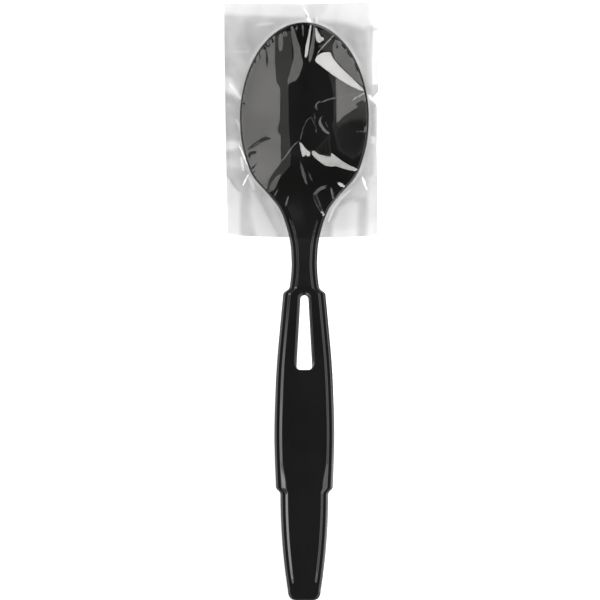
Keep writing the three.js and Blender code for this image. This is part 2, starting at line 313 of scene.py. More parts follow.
def halfOutline():
    # half width against station: quarter ellipse, cubic flank, then beziers and a cubic grip to the end;
    # each stretch ends with its number of points
    angle = np.linspace(0, np.pi / 2, 120)
    corner = spoonEnd - sp["tailCorner"]
    flank = [(mix(sp["neckHalf"], sp["bowlHalf"], left), mix(sp["tipLength"], neckAt, along))
             for along, left in sp["flankShape"]]
    grip = [(mix(sp["gripStartHalf"], sp["gripHalf"], gained), mix(gripAt, stepAt, along))
            for along, gained in sp["gripShape"]]
    parts = [
        np.stack([sp["bowlHalf"] * np.sin(angle), sp["tipLength"] * (1 - np.cos(angle))], 1),
        splineThrough([(sp["bowlHalf"], sp["tipLength"])] + flank + [(sp["neckHalf"], neckAt)], 240),
        bezier([(sp["neckHalf"], neckAt), (sp["neckHalf"], (neckAt + shoulderAt) / 2),
                (sp["neckEndHalf"], shoulderAt)], 24),
        shoulder(sp["neckEndHalf"], shoulderAt, sp["gripStartHalf"], gripAt),
        splineThrough([(sp["gripStartHalf"], gripAt)] + grip + [(sp["gripEndHalf"], stepAt)], 160),
        shoulder(sp["gripEndHalf"], stepAt, sp["tailStartHalf"], tailAt),
        bezier([(sp["tailStartHalf"], tailAt), (sp["tailStartHalf"], (tailAt + corner) / 2),
                (sp["tailEndHalf"], corner)], 80),
        bezier([(sp["tailEndHalf"], corner), (sp["tailEndHalf"], spoonEnd),
                (sp["tailEndHalf"] - sp["tailCorner"], spoonEnd)], 40),
        np.array([(0.0, spoonEnd)]),
    ]
    return np.concatenate([parts[0]] + [part[1:] if len(part) > 1 else part for part in parts[1:]])


outline = halfOutline()


def halfAt(station):  # half width, read off the outline
    return np.interp(station, outline[:-1, 1], outline[:-1, 0])


def edgeDistance(x, station):
    # distance to the outline of the bowl and neck, positive inside
    line = outline[outline[:, 1] < shoulderAt][::2]  # every other point is close enough
    gap = lineDistance(np.abs(x - spoonX), station, line)[0]
    inside = (station > 0) & (np.abs(x - spoonX) < halfAt(station))
    return np.where(inside, gap, -gap)


def rimHeight(station):
    # level round the bowl, a smooth rise to the grip, then a fall by a power of the way to the end
    rise = sp["neckRise"] * ease(station, sp["tipLength"] + sp["runout"], gripAt)
    share = np.maximum(0, station - gripAt) / (spoonEnd - sp["heel"] - gripAt)
    top = sp["bowlRimHeight"] + sp["neckRise"]
    return sp["bowlRimHeight"] + rise - (top - sp["trayDepth"] - sp["trayWall"]) * share ** sp["handleBend"]


def bowlShare(station):  # 1 in the bowl, 0 from the neck on
    return 1 - ease(station, sp["tipLength"] + sp["runout"], neckAt - sp["runout"])


def floorInset(station):
    # how far in the tray's floor starts: a plain width, more just before the step
    nearing = ease(station, stepAt - sp["stepLead"], stepAt)
    return sp["floorInset"] + sp["stepInset"] * nearing * (1 - ease(station, stepAt, tailAt))


def slotHalf(station):
    # round at the start, widening in a straight line, small corners at the end
    r, w, c = sp["slotTopHalf"], sp["slotEndHalf"], sp["slotCorner"]
    arc = np.sqrt(np.maximum(0, r * r - np.maximum(0, gripAt + r - station) ** 2))
    side = mix(r, w, np.clip((station - gripAt - r) / (slotEnd - gripAt - r), 0, 1))
    late = np.clip((station - (slotEnd - c)) / c, 0, 1)
    half = np.where(station < gripAt + r, arc, side - c * (1 - np.sqrt(1 - late ** 2)))
    return np.where((station > gripAt) & (station < slotEnd), half, 0.0)


def topDepth(edge, station, reach):
    # rounded lip, flat rim, then a power curve in the bowl or a straight slope with soft ends in the tray;
    # the bowl's valley is rounded by a hypotenuse where its two sides meet on the axis
    lip = sp["lipDrop"] * (1 - np.sqrt(np.maximum(0, 1 - np.clip(1 - edge / sp["lipWidth"], 0, 1) ** 2)))
    rounded = reach - np.hypot(reach - edge, sp["valley"])
    inward = np.clip((rounded - sp["rimInset"]) / (sp["bowlHalf"] - sp["rimInset"]), 0, 1)
    bowl = sp["bowlDepth"] * (1 - (1 - inward) ** sp["bowlPower"])
    t = np.clip((edge - sp["rimInset"]) / (floorInset(station) - sp["rimInset"]), 0, 1)
    soft = sp["traySoft"]
    last = 1 - soft - (1 - t) ** 2 / (2 * soft)
    slope = np.where(t < soft, t * t / (2 * soft), np.where(t > 1 - soft, last, t - soft / 2)) / (1 - soft)
    trayEnd = spoonEnd - sp["trayEndMargin"]
    tray = sp["trayDepth"] * slope * (1 - ease(station, trayEnd - sp["trayRamp"], trayEnd))
    return lip + mix(tray, bowl, bowlShare(station))


def depthBelowRim(edge, station):
    # the skirt at the edge, then a power curve under the bowl or a quarter sine under the tray
    inward = np.clip(edge / sp["bowlHalf"], 0, 1)
    bowl = (sp["bowlDepth"] + sp["bowlWall"] - sp["skirt"]) * (1 - (1 - inward) ** sp["underPower"])
    turned = np.sin(np.pi / 2 * np.clip(edge / sp["underRound"], 0, 1))
    tray = (sp["trayDepth"] + sp["trayWall"] - sp["skirt"]) * turned
    return sp["skirt"] + mix(tray, bowl, bowlShare(station))


# The spoon's mesh: rows across it, closer together at steps and at the slot's ends, and columns from the
# outline inwards.
spoonMesh = dict(
    tipRows=110, tipRowsTo=60,  # how many as far as this station
    squareFrom=45,  # from here to there they turn square to the axis
    # further on, each stretch between two stations: mm past the first, mm past the last, how many
    neck=(0, -0.6, 15), shoulder=(-0.5, 0, 20), slotSide=(1.4, -2.2, 34), slotLate=(-1.8, -0.1, 4),
    grip=(0.3, -7, 40), step=(-6.6, 0.6, 46), tail=(1, -8, 34), end=(-7.7, 0, 22), slotLine=(2, -0.01, 10),
    slotRound=(0.06, 12), slotCorner=(0.1, 8),  # radians left out, how many
    endRows=30, slotArc=14, merge=0.004,
    steepest=2,  # slope of the outline past which rows turn no further
    # columns as shares of the lip's width, mm before the inner end, and mm in from the outline underneath
    lip=[0, 0.05, 0.13, 0.25, 0.4, 0.57, 0.75, 0.92, 1, 1.1, 1.55, 1.85],
    inner=[1.2, 0.9, 0.75, 0.66, 0.6, 0.55, 0.48, 0.4, 0.3, 0.2, 0.12, 0.06, 0.02, 0],
    skirt=[0, 0.1, 0.25, 0.45, 0.7, 0.95, 1.2, 1.6], underFrom=2.1,
    slope=13, floor=16, under=18,  # how many more between those
    full=3.7,  # shorter rows squeeze their columns in proportion
)


def stretch(name, first, last):  # even rows along one named stretch
    pastFirst, pastLast, count = spoonMesh[name]
    return np.linspace(first + pastFirst, last + pastLast, count)


def spoonRows():
    # outline points from the tip to the middle of the end; the slot's two curves by even angles
    m = spoonMesh
    steps = np.hypot(*np.diff(outline, axis=0).T)
    length = np.concatenate([[0], np.cumsum(steps)])
    tipRows = np.linspace(0, np.interp(m["tipRowsTo"], outline[:, 1], length), m["tipRows"])
    (early, roundRows), (late, cornerRows) = m["slotRound"], m["slotCorner"]
    rounding = 1 - np.cos(np.linspace(early, np.pi / 2, roundRows))
    corner = 1 - np.sin(np.linspace(0, np.pi / 2 - late, cornerRows))
    stations = np.concatenate([
        stretch("neck", m["tipRowsTo"], shoulderAt),
        stretch("shoulder", shoulderAt, gripAt),
        gripAt + sp["slotTopHalf"] * rounding,
        stretch("slotSide", gripAt, slotEnd),
        stretch("slotLate", slotEnd, slotEnd - sp["slotCorner"]),
        slotEnd - sp["slotCorner"] * corner,
        [slotEnd],
        stretch("grip", slotEnd, stepAt),
        stretch("step", stepAt, tailAt),
        stretch("tail", tailAt, spoonEnd),
        stretch("end", spoonEnd, spoonEnd - sp["tailCorner"]),
    ])
    cornerAt = np.searchsorted(outline[:, 1], spoonEnd - sp["tailCorner"]) + 1
    late = np.linspace(length[cornerAt], length[-1], m["endRows"])
    tip, end = (np.stack([np.interp(at, length, line) for line in outline.T], 1) for at in (tipRows, late))
    return np.concatenate([tip, np.stack([halfAt(stations[1:]), stations[1:]], 1), end])


def spoonInner(rows):
    # where each row ends: on the axis where the outline's normal meets it, square to it further on, or at
    # the slot's edge
    x, s = rows.T
    m, a, b = spoonMesh, sp["bowlHalf"], sp["tipLength"]
    slope = np.gradient(x, np.maximum.accumulate(s + np.arange(len(s)) * 1e-9))
    square = ease(s, m["squareFrom"], m["tipRowsTo"])
    flank = s + (1 - square) * x * np.clip(slope, -m["steepest"], m["steepest"])
    axis = np.where(s < b, b - (b * b - a * a) / b * (1 - s / b), flank)
    axis = np.maximum.accumulate(np.minimum(axis, spoonEnd - sp["endCentre"]))
    return np.stack([slotHalf(s), axis], 1)


def slotGap(x, s):
    # distance from a point to the slot's outline
    top = gripAt + sp["slotTopHalf"] * (1 - np.cos(np.linspace(0, np.pi / 2, spoonMesh["slotArc"])))
    at = np.concatenate([top, stretch("slotLine", gripAt, slotEnd)])
    line = np.stack([slotHalf(at), at], 1)
    gap = lineDistance(x, s, line)[0]
    return np.where(x < slotHalf(s) - 1e-6, 0, gap)


def collarRise(x, s):
    # half an ellipse over the collar's width round the slot, fading before its square end
    half = sp["collarWidth"] / 2
    ring = np.sqrt(np.maximum(0, 1 - ((slotGap(x, s) - half) / half) ** 2))
    fadeFrom, fadeTo = slotEnd - np.array(sp["collarEnds"])
    return sp["collarHeight"] * ring * (1 - ease(s, fadeFrom, fadeTo))


def makeSpoon(material):
    # every row runs from the outline inwards, first over the top and then back under it
    m = spoonMesh
    rows = spoonRows()
    inner = spoonInner(rows)
    reach = np.hypot(*(inner - rows).T)[:, None]
    shrink = np.minimum(1, reach / m["full"])
    stations = rows[:, 1:2]
    floorAt = floorInset(stations) * shrink
    lip = np.array(m["lip"]) * sp["lipWidth"] * shrink
    slope = mix(sp["rimInset"] * shrink, floorAt, np.linspace(0, 1, m["slope"])[None, :])
    near = np.array(m["inner"]) * shrink
    between = mix(floorAt, reach - near[:, :1], np.linspace(0, 1, m["floor"])[None, 1:-1])
    top = np.concatenate([lip, slope, between, reach - near], 1)
    below = mix(m["underFrom"] * shrink, reach, np.linspace(0, 1, m["under"])[None, :])
    underside = np.concatenate([np.array(m["skirt"]) * shrink, below], 1)
    heading = (inner - rows) / reach
    halves = []
    for hand in (1, -1):
        for inset in (top, underside):
            x = rows[:, :1] + heading[:, :1] * inset
            s = stations + heading[:, 1:] * inset
            if inset is top:
                z = rimHeight(s) - topDepth(inset, s, reach) + collarRise(x, s)
            else:
                z = np.maximum(0, rimHeight(s) - depthBelowRim(inset, s))
            halves.append(np.stack([spoonX + hand * x, s, z], -1))
    columns = top.shape[1] + underside.shape[1]
    # the rows beside the slot, whose wall joins the ends of each strip; a hair more, for rounding
    hair = 0.001
    wall = np.flatnonzero((stations[:-1, 0] >= gripAt - hair) & (stations[1:, 0] <= slotEnd + hair))
    faces, points = [], []
    for k in (0, 1):
        # one closed strip per row: from the top's inner edge out to the lip, then back in underneath
        grid = np.concatenate([halves[2 * k][:, ::-1], halves[2 * k + 1]], 1)
        start = k * len(rows) * columns
        points.append(grid.reshape(-1, 3))
        faces.append(gridFaces(len(rows), columns, start))
        first = start + wall * columns
        faces.append(np.stack([first + columns - 1, first, first + columns, first + 2 * columns - 1], 1))
    points, faces = np.concatenate(points), np.concatenate(faces)
    return meshPiece("spoon_moulding", points, faces, material, m["merge"])


plastic = dict(
    dark=(0.0052, 0.0053, 0.0052), light=(0.0068, 0.007, 0.0068), ior=1.59,
    grain=260.0, waves=0.00001,  # per metre, and the height of the waves in metres
    specular=0.5, rough=(0.045, 0.08),
    satinSpecular=0.04, satinRough=(0.3, 0.38),  # inside the bowl, so that it stays dark under the film
    satinEdge=52, satinPast=0.1,  # station where its edge leaves the rim for the tray's floor, mm inside it
    satinUp=0.05,  # least rise of its normals
)
glossNoise = dict(
    fineDetail=3.0, broadDetail=2.0, contrast=(0.32, 0.68),
    broadScale=0.22, fineHeight=0.15,  # as shares of the other noise's
)


def unevenGloss():
    # node group: fine noise between two roughnesses, broad noise for the tint, both noises for the height
    look = glossNoise
    group = bpy.data.node_groups.new("unevenGloss", "ShaderNodeTree")
    for name, kind in (("Scale", "INPUT"), ("Smoothest", "INPUT"), ("Roughest", "INPUT"),
                       ("Roughness", "OUTPUT"), ("Tint", "OUTPUT"), ("Height", "OUTPUT")):
        group.interface.new_socket(name=name, in_out=kind, socket_type="NodeSocketFloat")
    given, put = group.nodes.new("NodeGroupInput"), group.nodes.new("NodeGroupOutput")
    place = addNode(group, "TexCoord")
    noises = []
    for times, detail in ((1.0, look["fineDetail"]), (look["broadScale"], look["broadDetail"])):
        scale = mathNode(group, "MULTIPLY", given.outputs["Scale"], times)
        inputs = {"Vector": place.outputs["Object"], "Scale": scale, "Detail": detail}
        noises.append(addNode(group, "TexNoise", inputs).outputs["Fac"])
    fine, broad = (rampNode(group, noise, *look["contrast"]) for noise in noises)
    span = mathNode(group, "SUBTRACT", given.outputs["Roughest"], given.outputs["Smoothest"])
    rough = mathNode(group, "MULTIPLY_ADD", fine, span, given.outputs["Smoothest"])
    height = mathNode(group, "MULTIPLY_ADD", noises[0], look["fineHeight"], noises[1])
    for value, socket in zip((rough, broad, height), put.inputs):
        group.links.new(value, socket)
    return group


def addGloss(tree, look, rough):
    # the group's outputs, and for the shader its roughness and a colour between dark and light by its tint
    sizes = {"Scale": look["grain"], "Smoothest": rough[0], "Roughest": rough[1]}
    gloss = addNode(tree, "Group", sizes, node_tree=glossGroup).outputs
    tones = {"Factor": gloss["Tint"], "A": (*look["dark"], 1), "B": (*look["light"], 1)}
    colour = addNode(tree, "Mix", tones, data_type="RGBA")
    return gloss, {"Base Color": colour.outputs["Result"], "Roughness": gloss["Roughness"]}


def blackPlastic(name, specular, rough):
    # near-black, faintly uneven in gloss and tint, with the slight waves of a moulding
    material, tree = newMaterial(name)
    gloss, inputs = addGloss(tree, plastic, rough)
    waves = {"Strength": 1.0, "Distance": plastic["waves"], "Height": gloss["Height"]}
    inputs["Normal"] = addNode(tree, "Bump", waves).outputs["Normal"]
    inputs["IOR"], inputs["Specular IOR Level"] = plastic["ior"], specular
    shader = addNode(tree, "BsdfPrincipled", inputs)
    addNode(tree, "OutputMaterial", {"Surface": shader.outputs[0]})
    return material


def insideBowl(piece):
    # faces that look up, nearer the axis than the rim of the bowl's ellipse or the neck's slopes
    centres, normals = np.zeros((2, len(piece.data.polygons) * 3))
    piece.data.polygons.foreach_get("center", centres)
    piece.data.polygons.foreach_get("normal", normals)
    centres = centres.reshape(-1, 3) / mm
    across, stations = np.abs(centres[:, 0] - spoonX), tipY - centres[:, 1]
    early = (sp["tipLength"] - stations) / (sp["tipLength"] - sp["rimInset"])
    ellipse = (sp["bowlHalf"] - sp["rimInset"]) * np.sqrt(np.maximum(0, 1 - early ** 2))
    late = stations >= plastic["satinEdge"]
    sides = halfAt(stations) - np.where(late, sp["floorInset"] + plastic["satinPast"], sp["rimInset"])
    width = np.where(early > 0, ellipse, sides)
    return (across < width) & (stations < shoulderAt) & (normals[2::3] > plastic["satinUp"])


glossGroup = unevenGloss()
spoon = makeSpoon(blackPlastic("blackPlastic", plastic["specular"], plastic["rough"]))
spoon.data.materials.append(blackPlastic("satinPlastic", plastic["satinSpecular"], plastic["satinRough"]))
spoon.data.polygons.foreach_set("material_index", insideBowl(spoon).astype(np.int32))
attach(spoon, "root")
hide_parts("spoon")
print("spoon made,", len(spoon.data.polygons), "faces")

# film sleeve: one web folded beyond the tip and welded down both sides, open over the neck
filmSize = dict(
    leftEdge=[(-5.2, -20.4), (10, -20.25), (33, -19.9), (56.2, -19.4)],  # station, X of the edge
    rightEdge=[(-5.2, 20.2), (18.6, 20.15), (19.9, 18.6), (22.5, 19.9), (33.5, 19.7), (40.4, 19.9),
               (56.2, 19.85)],
    foldAt=[(-20.2, -5.0), (0, -4.7), (20.2, -5.2)],  # X, station of the folded end
    mouthAt=[(-19.5, 55.35), (-17, 55.9), (-12, 56.2), (0, 56.4), (12, 56.35), (17, 56.1), (19.9, 55.5)],
    clear=0.32,  # over the rim
    sag=0.9,  # in the middle of the bowl
    edgeHeight=7.6, crown=1.0, crownAt=25, crownReach=16,  # of the welded edge, by station
    mouthRise=1.4, mouthFrom=38, mouthTo=58,
    weld=1.0, turn=0.12,  # width of the weld, and how far the fold bulges
    underGap=0.3, underOut=1.0, tableGap=0.03, weldGap=0.02,
    first=-5.0, last=56.2,  # stations
    columns=250, rows=340, rowsUnder=40, rowsFold=5,
)

# How the film's facets lie: slopes across and along that mirror one part of the studio each.
filmPaint = dict(
    plain=(0.02, 0.0),  # where there is none
    dark=(0.0, 0.0), dim=(0.07, 0.0), grey=(0.125, 0.0), white=(0.141, 0.332),
    creaseEnd=0.25,  # width of a crease at its ends, as a share of that in the middle
    marginShade=1.35,  # density of the film beside the bowl, 1 is the plain film; above 1 it paints shade there
    rimLine=0.5, rimSoft=0.12, outSoft=0.1,  # facets stop this close inside the rim, and how softly
    halo=0.45, haloFrom=0.3, haloFade=(0.35, 0.9),  # painted highlight: lower density just outside the rim, so the film reads lighter there
    haloWave=0.4, haloTip=(9, 14), haloNeck=(35, 39), haloNeckShare=0.8,  # stations
    ripple=0.09,  # uneven density beside the bowl
)

# Facets and creases of the pulled film, each over the ones before it. Their points, widths and soft
# edges are given in pixels of the photograph, and these values bring them to mm.
photo = dict(pixel=0.2627, zeroColumn=301.085, tipRow=22.3)  # mm to a pixel, column at X = 0, tip's row
facets = []


def crease(tilt, densityAndShade, width, points, soft=0.4, place="in"):
    # density scales the film's alpha: over the bowl it sets how bright the facet's reflection reads, beside
    # the bowl it makes the film lighter or darker; both are painted light and shade
    # a line inside the rim, beside the bowl where place is "out", or across the rim where it is empty
    placed = (np.array(points, float) - (photo["zeroColumn"], photo["tipRow"])) * photo["pixel"]
    facets.append((place, tilt, densityAndShade, width * photo["pixel"], soft * photo["pixel"], placed))


def facet(tilt, densityAndShade, points, soft=0.45, place="in"):  # a closed area, kept as a crease with no width
    crease(tilt, densityAndShade, 0, points, soft, place)


def shadingStreak(densityAndShade, width, points, soft=0.4):  # a crease beside the bowl that paints the film lighter or darker through its density alone, keeping the slope below it
    crease(None, densityAndShade, width, points, soft, "out")


def shadingPatch(densityAndShade, points, soft):  # the same for a closed area
    shadingStreak(densityAndShade, 0, points, soft)


# over the left half of the bowl: a broad grey facet, a dim one beside it and their folds
facet("dim", 0.8, [(274.5, 36), (291, 30), (291.5, 50), (292, 63), (288.5, 80), (288, 90), (288.3, 120),
    (289, 135), (290.5, 150), (290, 165), (283, 174), (279, 178), (268, 190), (266, 190), (267, 178),
    (273, 172), (280, 163), (280.5, 140), (278, 130), (277, 128), (279, 120), (279.3, 90), (276, 82),
    (274.8, 70), (274.3, 50)], 0.6)
facet("grey", 1, [(274.3, 34), (274.5, 60), (275, 72), (276, 82), (279.5, 88), (279.3, 120), (277, 128),
    (278, 132), (280.3, 137), (280.2, 163), (273, 172), (268, 180), (266, 192), (262, 196), (236, 160),
    (230, 110), (236, 60), (262, 30), (270, 30)])
facet("grey", 1.12, [(246, 152), (262, 148), (279, 150), (279.5, 162), (270, 174), (262, 184),
    (252, 170)], 3)
facet("dim", 0.65, [(265, 46), (266.5, 52), (268, 60), (267, 66), (266, 69), (265.3, 62), (265.3, 55)])
crease("dim", 0.6, 1.4, [(268.6, 40), (269.2, 47)])
crease("dim", 0.6, 1.2, [(259, 53), (260, 59)])
facet("dim", 0.7, [(247, 149), (252, 144), (260, 138.5), (265, 136), (271.5, 138.5), (264, 140.5),
    (258, 144.5), (251, 148), (247.5, 149.5)])
crease("grey", 0.8, 0.9, [(253, 145), (260, 141.3)])
facet("dim", 0.7, [(248.5, 152), (252, 151), (256, 150.5), (256.5, 152.5), (253, 154), (251, 154),
    (249.5, 158), (247, 156)])
facet("dim", 0.7, [(249, 169), (252, 167), (256, 165.3), (254, 167.5), (251.5, 169.5), (250, 170.5)])
crease("dim", 0.6, 1.2, [(252, 173), (255, 170.5)])
facet("grey", 0.72, [(268, 190.5), (270.5, 183), (275, 177), (280, 174), (279.5, 177), (276.5, 184),
    (273.5, 190), (267, 192)])
# fans at the tip
facet("grey", 0.92, [(278, 37), (280, 33), (282.3, 34), (282.5, 45), (281.2, 50.5), (278.5, 51),
    (278, 45)])
crease("grey", 0.9, 1.3, [(282.5, 31.5), (284.3, 37)])
crease("grey", 0.9, 1.2, [(284.3, 30.5), (286.7, 36.5)])
crease("grey", 0.85, 1.5, [(296.6, 25.5), (295.5, 30.5)])
facet("grey", 0.8, [(301, 25), (302.8, 25), (303.3, 31), (303, 37), (302.2, 36), (301.6, 31)])
facet("grey", 0.8, [(290.6, 25), (293, 27.5), (296, 36), (299.5, 47), (301, 57), (302.8, 63), (300.5, 70),
    (298, 77), (295, 80.5), (290, 82.5), (287.5, 85), (286.9, 80), (288.5, 76), (291, 66), (293.2, 57),
    (292.8, 48), (291.3, 38), (290.3, 30)])
facet("white", 0.8, [(309.6, 25), (311, 24.5), (310.2, 33), (308.9, 42), (307.3, 54), (305.3, 58),
    (304.1, 57), (304.4, 48), (306.6, 40), (308.6, 30)])
facet("grey", 0.85, [(312.9, 25), (314.6, 28), (314.2, 40), (312.8, 53), (310.5, 61), (308.5, 62.3),
    (307.8, 58), (309.3, 48), (311.3, 40), (312.5, 32)])
facet("white", 0.78, [(314.6, 26), (316, 28.5), (318, 33), (320, 36.5), (323.6, 38.3), (322.7, 41.5),
    (321, 41.3), (320, 39.5), (320, 42.5), (318, 43.2), (316, 41), (314.7, 36)])
# over the right half
facet("dim", 0.95, [(319, 30), (329, 30), (334, 34), (331, 46), (330, 52), (322, 51), (317, 46),
    (323.5, 42.5), (324.5, 38), (320.5, 34.5)], 0.8)
facet("grey", 1.05, [(331.5, 46), (336, 36), (344, 41), (352, 52), (360, 68), (366, 88), (361, 86),
    (350, 76), (340, 66), (333, 58), (331.5, 52)], 1.6)
crease("dim", 0.9, 1.6, [(330.8, 43), (331, 50), (333.5, 58)])
crease("dim", 0.8, 1.2, [(335, 43), (337, 47)])
crease("white", 0.38, 1, [(334.6, 33), (329, 40), (322, 47), (318, 52), (315.4, 58)])
facet("dim", 0.5, [(324, 62), (335, 70), (336.8, 80), (336.8, 126), (333, 126), (332.5, 95),
    (331, 85)], 2.6)
facet("dim", 0.14, [(331, 124), (343, 117), (352, 110), (372, 102), (372, 145), (352, 160),
    (337, 150)], 5)
facet("dim", 0.9, [(336, 123), (343, 117), (352, 110.5), (360, 106), (372, 103), (372, 117), (364, 120),
    (352, 119), (337, 126)], 3.5)
facet("grey", 1.05, [(335, 78), (340, 80), (350, 86.5), (358, 90), (364.5, 91.5), (370, 98), (366, 101),
    (362, 104), (352, 110), (343, 116), (336, 123), (335.8, 100)], 0.7)
facet("dim", 1.1, [(354, 104), (362, 99), (366, 104), (366, 112), (358, 108)], 1.2)
facet("white", 0.9, [(314.2, 59.5), (316, 57), (320, 53), (325, 52), (330, 52.3), (331.5, 57), (337, 64),
    (345, 72), (352, 78.5), (360, 86), (365, 91.5), (358, 89.7), (350, 86.3), (342, 81.3), (332, 75),
    (322, 67), (315, 61.8)])
crease("white", 0.42, 1.9, [(351.5, 100.3), (358, 96.5), (365.5, 91.5)])
# creases round the middle
crease("grey", 0.7, 1.5, [(320, 102.5), (328, 99), (336, 97.5)])
crease("grey", 0.85, 1.7, [(319.5, 101), (316.3, 103), (315.3, 107), (316.8, 110)])
facet("grey", 0.92, [(323.5, 115.5), (321, 117), (320.3, 121), (321.8, 125), (326, 130), (329.8, 133.5),
    (327.5, 134.3), (322, 130.3), (318.3, 125), (317.8, 120.5), (320, 117)])
crease("grey", 0.35, 1.2, [(313.6, 113), (314.6, 121)])
crease("grey", 0.18, 1.2, [(311.5, 118), (313, 123), (315.5, 127), (315.6, 133)])
crease("grey", 0.14, 1.1, [(324.5, 121), (328, 129)])
crease("grey", 0.32, 1.1, [(311.5, 116.3), (306.5, 120), (302.5, 128), (299.5, 140)])
crease("grey", 0.4, 1.1, [(328.8, 133), (328.6, 153)])
facet("dim", 0.07, [(313, 151), (329, 133), (331, 152), (330, 157), (318, 154)], 3)
# bright band below the middle, and creases towards the neck
facet("white", 0.75, [(298.5, 141.8), (301, 143), (304, 147), (307.5, 150.3), (309.8, 151.5),
    (309.2, 155.8), (307, 156.3), (305, 155), (302.3, 156.6), (300.8, 153), (299.8, 147)])
facet("white", 0.62, [(310.5, 150.2), (314, 150.8), (319, 154.3), (325, 155.9), (330, 156.3),
    (330.8, 152.5), (335, 155.8), (342, 161.3), (350, 165.3), (358.5, 170), (357.5, 171.3), (348, 169.7),
    (340, 167.7), (335, 165.7), (329, 166.3), (324, 165.2), (318, 160.8), (314, 157.3), (311.3, 153.7)])
crease("grey", 1.1, 1.1, [(297.8, 141.2), (292.5, 145.5), (288, 152), (281, 161)])
facet("grey", 0.62, [(299.4, 161), (301.5, 165), (304.3, 172), (307.2, 184.3), (305, 183.3), (301.9, 176),
    (299.9, 168)])
crease("grey", 0.22, 1.8, [(307.5, 171), (311.8, 181)])
facet("grey", 0.7, [(312, 194.8), (316, 188.8), (321, 186.2), (325.8, 184.8), (324.7, 188.2), (319, 190.8),
    (315, 195)])
crease("grey", 0.25, 1.4, [(314.8, 193), (319, 203), (321.5, 211)])
crease("grey", 0.22, 1.2, [(312.3, 194), (316, 204), (320, 211)])
facet("white", 0.5, [(319.3, 209.5), (323, 211.8), (328, 217.8), (327, 219.6), (323, 217.3), (320.7, 213)])
crease("grey", 0.95, 2.3, [(330.2, 187), (331.5, 193), (333, 200)])
facet("white", 0.7, [(336.3, 181.6), (340, 182.3), (344.5, 185.8), (346.3, 187.2), (342, 187.2),
    (338, 185.7)])
crease("grey", 0.85, 2, [(288, 196), (285, 206)])
crease("grey", 0.75, 1.8, [(277.5, 189), (273.5, 196)])
facet("dim", 1.3, [(338.5, 191), (342.5, 196), (337.5, 203), (332.5, 212), (327.6, 219), (325.3, 216),
    (329.3, 208), (333.5, 201)], place="")
crease("dim", 0.6, 0.9, [(340, 196.5), (334, 205), (328.5, 215)], place="")
# at the right rim
facet("grey", 1, [(363.5, 127.5), (366.5, 124), (370, 122), (370, 133), (364, 131.8)])
crease("white", 0.2, 1.6, [(355.3, 131.8), (365, 131)])
facet("grey", 1, [(359, 163), (363, 158), (362, 166), (358.5, 170.5)])
# beyond the tip: painted light and shade in the film's density
shadingPatch(0.55, [(218, -4), (384, -4), (384, 26), (362, 28), (345, 23), (318, 20), (300, 18), (270, 17.2),
    (250, 15.5), (218, 14)], 4.18)
shadingPatch(0.8, [(303.5, 3), (330, 3), (326, 9), (318, 18), (311, 19.5), (309, 14)], 2.85)
shadingPatch(1.3, [(225, 17.5), (245, 17.2), (270, 17.7), (300, 19), (306, 21.5), (298, 22), (285, 22.5),
    (270, 21.3), (250, 21.3), (225, 22.5)], 3.04)
shadingPatch(0.85, [(256, 24.5), (262, 22.7), (273, 22.5), (273, 24), (264, 25.5), (256, 26)], 1.71)
shadingPatch(0, [(370, -2), (384, -2), (384, 31), (375, 29), (371, 24)], 4.75)
# beside the bowl on the left: painted light and shade in the film's density, with a few creases
shadingStreak(1.1, 1.4, [(230, 51.8), (249, 51.4)])
shadingPatch(0.55, [(222, 75), (231, 79), (236.5, 87), (240.5, 97), (237.5, 99), (232.5, 95), (222, 90)], 3.8)
shadingStreak(0.05, 3.4, [(229, 83), (234, 90), (240.5, 99)], 0.9)
shadingPatch(1.5, [(222, 91.5), (232, 96), (236, 100), (236, 103), (222, 103)], 1.9)
shadingStreak(0.6, 2.2, [(235.5, 119), (238.5, 125), (241, 133)])
shadingPatch(0.45, [(222, 140.5), (233, 140.5), (241, 142), (239, 147), (233, 149.5), (222, 150.5)], 3.04)
shadingPatch(1, [(222, 159), (238, 159), (240, 168), (222, 167)], 3.04)
crease("white", 0.6, 2, [(238.5, 144), (242, 153), (246, 162), (250, 171)], 0.5, place="out")
shadingStreak(0.1, 2.6, [(240.5, 156), (243, 171)], 0.9)
shadingStreak(1.6, 1.6, [(241, 172), (250, 171.5)], 0.8)
crease("white", 0.6, 2, [(248, 174), (242.5, 185)], 0.6, place="out")
shadingPatch(0.55, [(222, 176), (230, 178), (233, 185), (240, 192), (239.5, 240), (222, 240)], 3.04)
shadingStreak(1.5, 2.4, [(228, 175), (234, 185), (241, 192.5)], 0.9)
shadingStreak(0.5, 4, [(248.5, 176), (254, 190)], 1.2)
shadingPatch(0.5, [(249.5, 188), (256, 195), (263, 206), (269, 216), (273, 223), (280, 240), (256, 240),
    (252, 222), (249.5, 210)], 4.18)
shadingStreak(1.15, 4.2, [(255, 186), (262, 200), (270, 217), (282, 240)], 1.4)
shadingPatch(0.9, [(262, 196), (272, 198), (290, 240), (282, 240), (272, 218)], 3.04)
